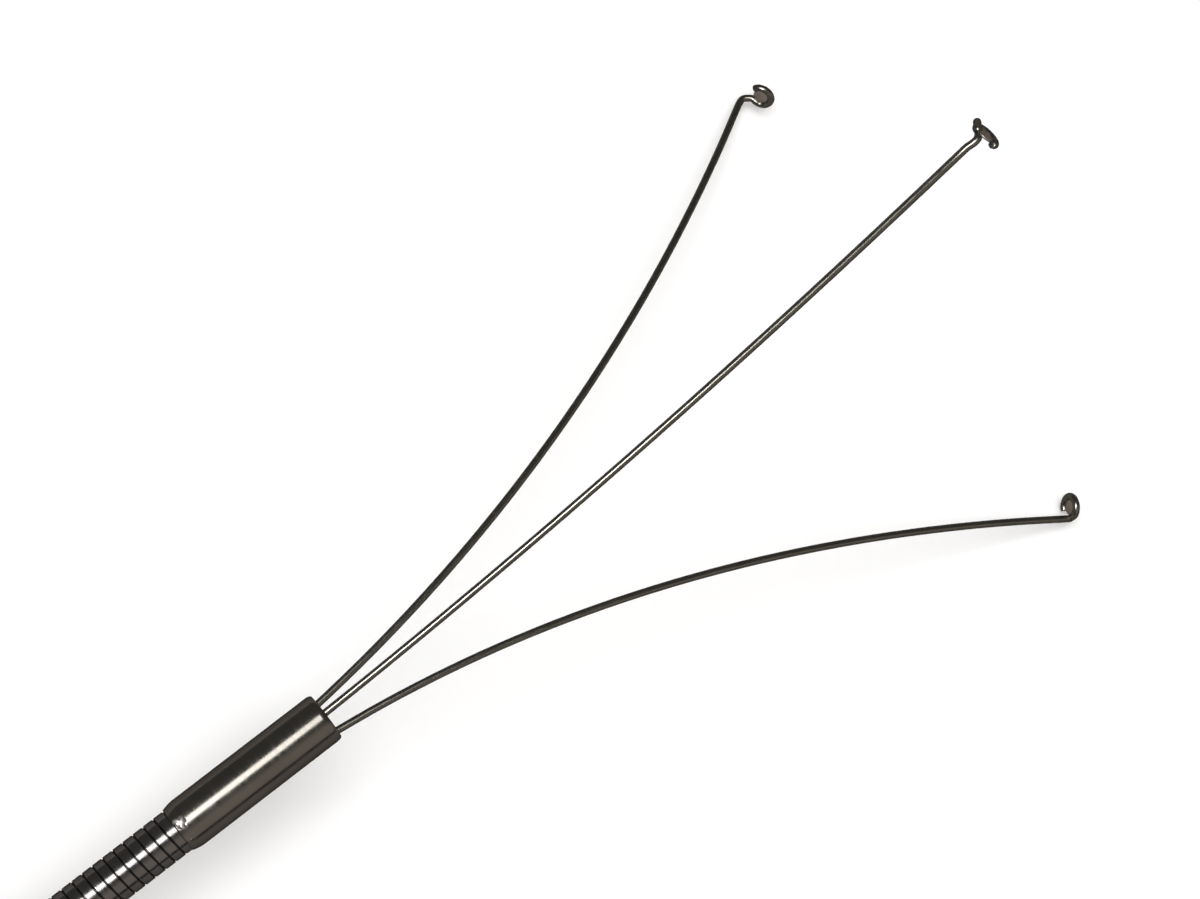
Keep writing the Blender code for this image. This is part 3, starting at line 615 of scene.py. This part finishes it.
WELD_RINGS = 9
theta = math.tau * np.arange(40) / 40
rise_of = np.linspace(0, 0.97, WELD_RINGS)[:, None]
lumps = 1 + WELD_LUMPS[0] * np.sin(3 * theta + 0.6)
lumps = lumps + WELD_LUMPS[1] * np.sin(5 * theta + 2 + 4 * rise_of)
reach = WELD_R * np.sqrt(1 - rise_of**2) * lumps
weld = swept(
    "sleeve_weld",
    MOUTH - AXIS * WELD_BACK
    + ABOVE * (SLEEVE_R - WELD_SINK + (WELD_HEIGHT + WELD_SINK) * rise_of),
    np.broadcast_to(AXIS, (WELD_RINGS, 3)),
    np.broadcast_to(ACROSS, (WELD_RINGS, 3)),
    np.stack([reach * np.cos(theta), reach * np.sin(theta)], axis=-1),
)
wear(weld, steel("weld_steel", (0.6, 0.58, 0.55), (0.34, 0.32, 0.3), 0.42, 4000))
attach(weld, "root")

# Three prongs: round spring wire, each bent outwards in one even curve and turned by hand at
# its end into a small hook that curls once round. A drop of silver braze fills each curl. They
# are brazed together inside the sheath.
WIRE_R = 0.19 * MM
MOUTH_WIRE_R = 0.92 * MM
MOUTH_SLOPE = 0.124
SPLAY_BEND_R = 64.9 * MM
PRONG_REACH = 36.8 * MM
HOOK_LOOP_R = 0.55 * MM
HOOK_LOOP_END = math.radians(300)
COLLAR_DEPTH = 4.1 * MM
DROP_R = 0.46 * MM
DROP_HALF_THICK = 0.12 * MM
DROP_RINGS = 11
STEM_POINTS = 16
PRONGS = {
    # turn about the axis, where the wire is bent in fully as it is drawn in, splay, reach, lean
    # of the loop, and in mm how far its centre lies inward and ahead of the stem's end, and how
    # far the bend swings sideways
    "prong_upper": (0, 53.5, 0.985, 1.01, 3, 0.58, 0.9, 0.68),
    "prong_left": (-120, 53.5, 0.98, 1.029, 8, 1.18, 0.56, 0.12),
    "prong_right": (120, 51.2, 1.04, 1.003, -5, 0.61, 0.1, 0.08),
}


def prong_path(splay, reach, lean, inner, onward, swing):
    """A wire's middle line: x along the axis, y across, z out from the axis. The stem follows
    z = r + slope * x + x^2 / (2 bend radius), and the hook turns inward and curls once. Gives
    it with the middle of its loop and two directions in the loop's plane."""
    end = PRONG_REACH * reach
    x = np.concatenate([[WIRE_R - COLLAR_DEPTH], np.linspace(0, end, STEM_POINTS - 1)])
    out = MOUTH_WIRE_R + MOUTH_SLOPE * x + splay * np.maximum(x, 0) ** 2 / (2 * SPLAY_BEND_R)
    stem = np.stack([x, 0 * x, out], axis=1)
    slope = MOUTH_SLOPE + splay * end / SPLAY_BEND_R
    ahead = np.array([1, 0, slope]) / math.hypot(1, slope)
    inward = np.array([ahead[2], 0, -ahead[0]])
    lean = math.radians(lean)
    across = np.array([0, -1, 0]) * math.cos(lean) + np.cross(inward, [0, 1, 0]) * math.sin(lean)
    root = stem[-1]
    neck = onward * MM
    middle = root + inward * inner * MM + across * WIRE_R / 2 + ahead * neck
    bend = [
        root + ahead * neck * 0.75 + inward * neck * 0.2,
        root + ahead * neck * 1.1 + inward * neck * 0.95 - across * swing * MM,
    ]
    turn = np.linspace(math.radians(42), HOOK_LOOP_END, 11)[:, None]
    swell = 1 + 0.12 * np.maximum(0, turn - math.radians(240))
    side = -across * np.sin(turn) - inward * np.cos(turn)
    return np.vstack([stem, bend, middle + side * HOOK_LOOP_R * swell]), middle, across, inward


wire_steel = steel("wire_steel", (0.23, 0.22, 0.195), (0.15, 0.145, 0.125), 0.24, 1500)
drop_braze = steel("drop_braze", (0.52, 0.46, 0.41), (0.32, 0.28, 0.245), 0.42, 2500)
WIRE_END = WIRE_R * np.array([0.25, 0.08, 0])
lens_angle = np.radians(np.linspace(-84, 84, DROP_RINGS))
for name, (turn, bent_by, *shape) in PRONGS.items():
    local, middle, across, inward = prong_path(*shape)
    a = math.radians(turn)
    first = ACROSS * math.cos(a) + ABOVE * math.sin(a)
    outward = ABOVE * math.cos(a) - ACROSS * math.sin(a)
    placing = np.stack([AXIS, first, outward])
    stem_path = route(local[:STEM_POINTS], 0.8 * MM)[:-1]
    path = np.vstack([stem_path, route(local[STEM_POINTS - 1 :], 0.06 * MM)])
    path = MOUTH + path @ placing
    run = growing(np.linalg.norm(np.diff(path, axis=0), axis=1))
    rings = np.concatenate([run[:-1], run[-1] - WIRE_END])
    reach = np.ones(len(rings))
    reach[-2:] = 0.93, 0.75
    circle = rounded(WIRE_R, WIRE_R, 2, 14)
    section = circle * reach[:, None, None]
    hook = swept(name.replace("prong", "hooked_wire"), *along(path, rings), section)
    wear(hook, wire_steel)
    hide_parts(name)
    facing = np.cross(across, inward) @ placing
    disc = rounded(DROP_R, DROP_R, 2, 28) * np.cos(lens_angle)[:, None, None]
    drop = swept(
        name.replace("prong", "hook_drop"),
        MOUTH + middle @ placing + facing * DROP_HALF_THICK * np.sin(lens_angle)[:, None],
        np.broadcast_to(across @ placing, (DROP_RINGS, 3)),
        np.broadcast_to(inward @ placing, (DROP_RINGS, 3)),
        disc,
    )
    wear(drop, drop_braze)
    for thing in (hook, drop):
        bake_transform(thing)

# Nose of the handle: a ribbed soft sleeve over the sheath's end, moulded in one, tapers to
# the sheath. A knurled steel nut screws onto the handle's nipple and grips the brazed ferrule.
HANDLE_FRONT = np.array([-7 * MM, 0, HANDLE_HEIGHT])
TO_NOSE = np.array([-1.0, 0, 0])
SIDEWAYS = np.array([0.0, 1.0, 0.0])
UPWARD = np.array([0.0, 0.0, 1.0])
RELIEF_START = 12.3 * MM
RELIEF_LENGTH = 26 * MM
RELIEF_R = 2.9 * MM
RELIEF_TIP_R = 1.75 * MM
RELIEF_RIBS = 7
RELIEF_GROOVE = 0.32 * MM
RELIEF_BORE_R = 1.2 * MM
RELIEF_SIDES = 48
RELIEF_EDGE = 0.35 * MM
RIBBED_FROM, RIBBED_TO = 0.07, 0.95
KNURL_RIDGES = 40
KNURL_DEPTH = 0.26 * MM
FACETS_PER_RIDGE = 6

t = np.linspace(0, 1, 220)
groove = (0.5 + 0.5 * np.cos(math.tau * (t * (RELIEF_RIBS + 1) + 0.5))) ** 0.6
groove *= np.clip((t - RIBBED_FROM) * 40, 0, 1) * np.clip((RIBBED_TO - t) * 40, 0, 1)
taper = RELIEF_R + (RELIEF_TIP_R - RELIEF_R) * t
ends = np.clip(1 - t * 60, 0, 1) ** 2 + np.clip((t - 1) * 60 + 1, 0, 1) ** 2
edge = RELIEF_EDGE * ends
outside = np.stack([taper - groove * RELIEF_GROOVE - edge, RELIEF_START + RELIEF_LENGTH * t], -1)
bore = [(RELIEF_BORE_R, RELIEF_START + RELIEF_LENGTH), (RELIEF_BORE_R, RELIEF_START)]
nose_place = (HANDLE_FRONT, TO_NOSE, SIDEWAYS, UPWARD)
relief = turned("ribbed_relief", np.vstack([outside, bore]), RELIEF_SIDES, *nose_place)
soft_plastic = plastic("soft_plastic", (0.1, 0.11, 0.12), (0.15, 0.16, 0.17), 0.6, 7000, 0.3)
wear(relief, soft_plastic)
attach(relief, "root")
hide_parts("strain_relief")

nut_outside = np.array([
    # radius, distance from the handle's front, share of the knurl, all lengths in mm
    (3.5, 0.3, 0), (5.1, 0.3, 0), (5.4, 0.6, 0), (5.4, 1.2, 0), (5.3, 1.35, 0), (5.4, 1.5, 1),
    (5.4, 1.8, 1), (5.4, 5, 1), (5.4, 8.2, 1), (5.4, 8.5, 1), (5.3, 8.65, 0), (5.4, 8.8, 0),
    (5.4, 9.9, 0), (5.3, 10.2, 0), (4.15, 11.9, 0), (4.0, 12, 0), (1.6, 12, 0), (1.5, 11.9, 0),
    (1.5, 10, 0), (3.5, 10, 0),
])
facets = np.arange(KNURL_RIDGES * FACETS_PER_RIDGE) / FACETS_PER_RIDGE
ridge = np.abs(facets % 1 - 0.5) * 2
radius = nut_outside[:, 0] * MM - nut_outside[:, 2] * KNURL_DEPTH * (1 - ridge[:, None])
nut_section = np.stack([radius, np.broadcast_to(nut_outside[:, 1] * MM, radius.shape)], -1)
nut = turned("knurled_nut", nut_section, len(facets), *nose_place)
turned_steel = steel("turned_steel", (0.5, 0.49, 0.46), (0.4, 0.39, 0.36), 0.24, 600)
wear(nut, turned_steel)
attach(nut, "root")
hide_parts("nose_nut")

# Handle body: one moulded bar with a slot for the slider between two thicker bosses, its edges
# softened. The rear boss takes the thumb ring's tenon and its cross pin.
EDGE_SOFT = 0.35 * MM
MERGED_WITHIN = 0.002 * MM
FLAT_WITHIN = math.radians(0.6)
EDGE_FROM = math.radians(50)


def softened(name, source, cuts=()):
    """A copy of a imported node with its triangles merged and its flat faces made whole, cut off
    at each plane given by a point and the side that goes, and its edges rounded by a bevel."""
    mesh = node[source].data.copy()
    bm = bmesh.new()
    bm.from_mesh(mesh)
    bmesh.ops.remove_doubles(bm, verts=bm.verts, dist=MERGED_WITHIN)
    for point, away in cuts:
        everything = [*bm.verts, *bm.edges, *bm.faces]
        cut = bmesh.ops.bisect_plane(
            bm, geom=everything, plane_co=point, plane_no=away, clear_outer=True
        )
        rim = [e for e in cut["geom_cut"] if isinstance(e, bmesh.types.BMEdge)]
        bmesh.ops.holes_fill(bm, edges=rim)
    bmesh.ops.dissolve_limit(
        bm, angle_limit=FLAT_WITHIN, verts=bm.verts, edges=bm.edges, delimit={"NORMAL"}
    )
    bmesh.ops.recalc_face_normals(bm, faces=bm.faces)
    bm.to_mesh(mesh)
    bm.free()
    mesh.polygons.foreach_set("use_smooth", np.ones(len(mesh.polygons), bool))
    made = bpy.data.objects.new(name, mesh)
    bpy.context.scene.collection.objects.link(made)
    bevel = made.modifiers.new("soft_edges", "BEVEL")
    bevel.width = EDGE_SOFT
    bevel.segments = 3
    bevel.limit_method = "ANGLE"
    bevel.angle_limit = EDGE_FROM
    bevel.harden_normals = True
    return made


handle_plastic = plastic(
    "handle_plastic", (0.05, 0.055, 0.06), (0.09, 0.095, 0.1), 0.45, 9000, 0.18
)
body = softened("handle_moulding", "handle_body")
wear(body, handle_plastic)
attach(body, "root")
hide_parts("handle_body")

# Slider: a sleeve on the bar and two finger rings, moulded in one. The rings are rounded all
# round for the fingers. It carries the steel clamp block, whose screw grips the drive rod.
RING_SECTION = 2.6 * MM
FINGER_RING_R = 12.2 * MM
SLIDER_X = 15.3 * MM
SLIDER_HALF_WIDTH = 8.3 * MM
CUT_INSIDE = 0.02 * MM
RING_SQUARENESS = 2.7
RING_SECTION_POINTS, RING_SIDES = 28, 96
ring_at = SLIDER_HALF_WIDTH + FINGER_RING_R - RING_SECTION / 4


def ring(name, centre, radius, half_height):
    """A smooth ring lying flat: a rounded rectangle turned about the upright at its centre."""
    section = rounded(RING_SECTION, half_height, RING_SQUARENESS, RING_SECTION_POINTS)
    place = (np.array(centre), UPWARD, SIDEWAYS, -TO_NOSE)
    return turned(name, section + (radius, 0), RING_SIDES, *place)


edge_of = SLIDER_HALF_WIDTH - CUT_INSIDE
cuts = [((0, edge_of, 0), (0, 1, 0)), ((0, -edge_of, 0), (0, -1, 0))]
slider = softened("slider_sleeve", "slider_rings", cuts)
slider_pieces = [slider]
for side, label in ((1, "left"), (-1, "right")):
    centre = (SLIDER_X, side * ring_at, HANDLE_HEIGHT)
    slider_pieces.append(ring(f"finger_ring_{label}", centre, FINGER_RING_R, RING_SECTION))
for thing in slider_pieces:
    wear(thing, handle_plastic)
    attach(thing, "slider")
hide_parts("slider_rings")

# Thumb ring: a moulded ring on a short waisted stem. Its tenon sits in the rear boss, where
# the steel cross pin holds it.
THUMB_RING_R = 14.6 * MM
THUMB_RING_X = 90.2 * MM
THUMB_HALF_HEIGHT = 3.25 * MM
STEM = [
    # x, half width, half depth in mm
    (59.6, 3.6, 2.6), (68.88, 3.6, 2.6), (68.9, 5.1, 2.9), (69.1, 5.4, 3.12), (70.5, 5.3, 3.1),
    (72.0, 4.9, 3.0), (73.5, 4.75, 2.95), (75.0, 5.1, 2.95), (76.9, 6.0, 2.95),
]
thumb = ring("thumb_ring_round", (THUMB_RING_X, 0, HANDLE_HEIGHT), THUMB_RING_R, THUMB_HALF_HEIGHT)
places = np.array([(x * MM, 0, HANDLE_HEIGHT) for x, _, _ in STEM])
stem = swept(
    "thumb_ring_stem",
    places,
    np.broadcast_to(SIDEWAYS, places.shape),
    np.broadcast_to(UPWARD, places.shape),
    np.array([rounded(wide * MM, deep * MM, 5, 32) for _, wide, deep in STEM]),
)
for thing in (thumb, stem):
    wear(thing, handle_plastic)
    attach(thing, "root")
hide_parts("thumb_ring")

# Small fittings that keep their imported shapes: the turned clamp screw, block and pin, the
# drawn rod and cable, the sheath's end in the handle, and the two brazed joints.
FITTINGS = {
    ("clamp_block", "clamp_screw", "thumb_ring_pin"): (
        "fitting_steel", (0.5, 0.49, 0.46), (0.38, 0.37, 0.34), 0.26, 500),
    ("drive_rod", "pull_cable"): ("rod_steel", (0.3, 0.29, 0.27), (0.2, 0.19, 0.18), 0.24, 900),
    ("proximal_sheath",): ("sheath_end_steel", (0.25, 0.24, 0.235), (0.2, 0.19, 0.185), 0.22, 900),
    ("prong_collar", "sheath_ferrule"): (
        "joint_braze", (0.62, 0.5, 0.3), (0.45, 0.36, 0.24), 0.36, 1200),
}
for names, look in FITTINGS.items():
    finish = steel(*look, uv=False)
    for name in names:
        wear(node[name], finish)

size = {"cad": [list(c) for c in cad_box], "visual": [list(c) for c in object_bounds()]}
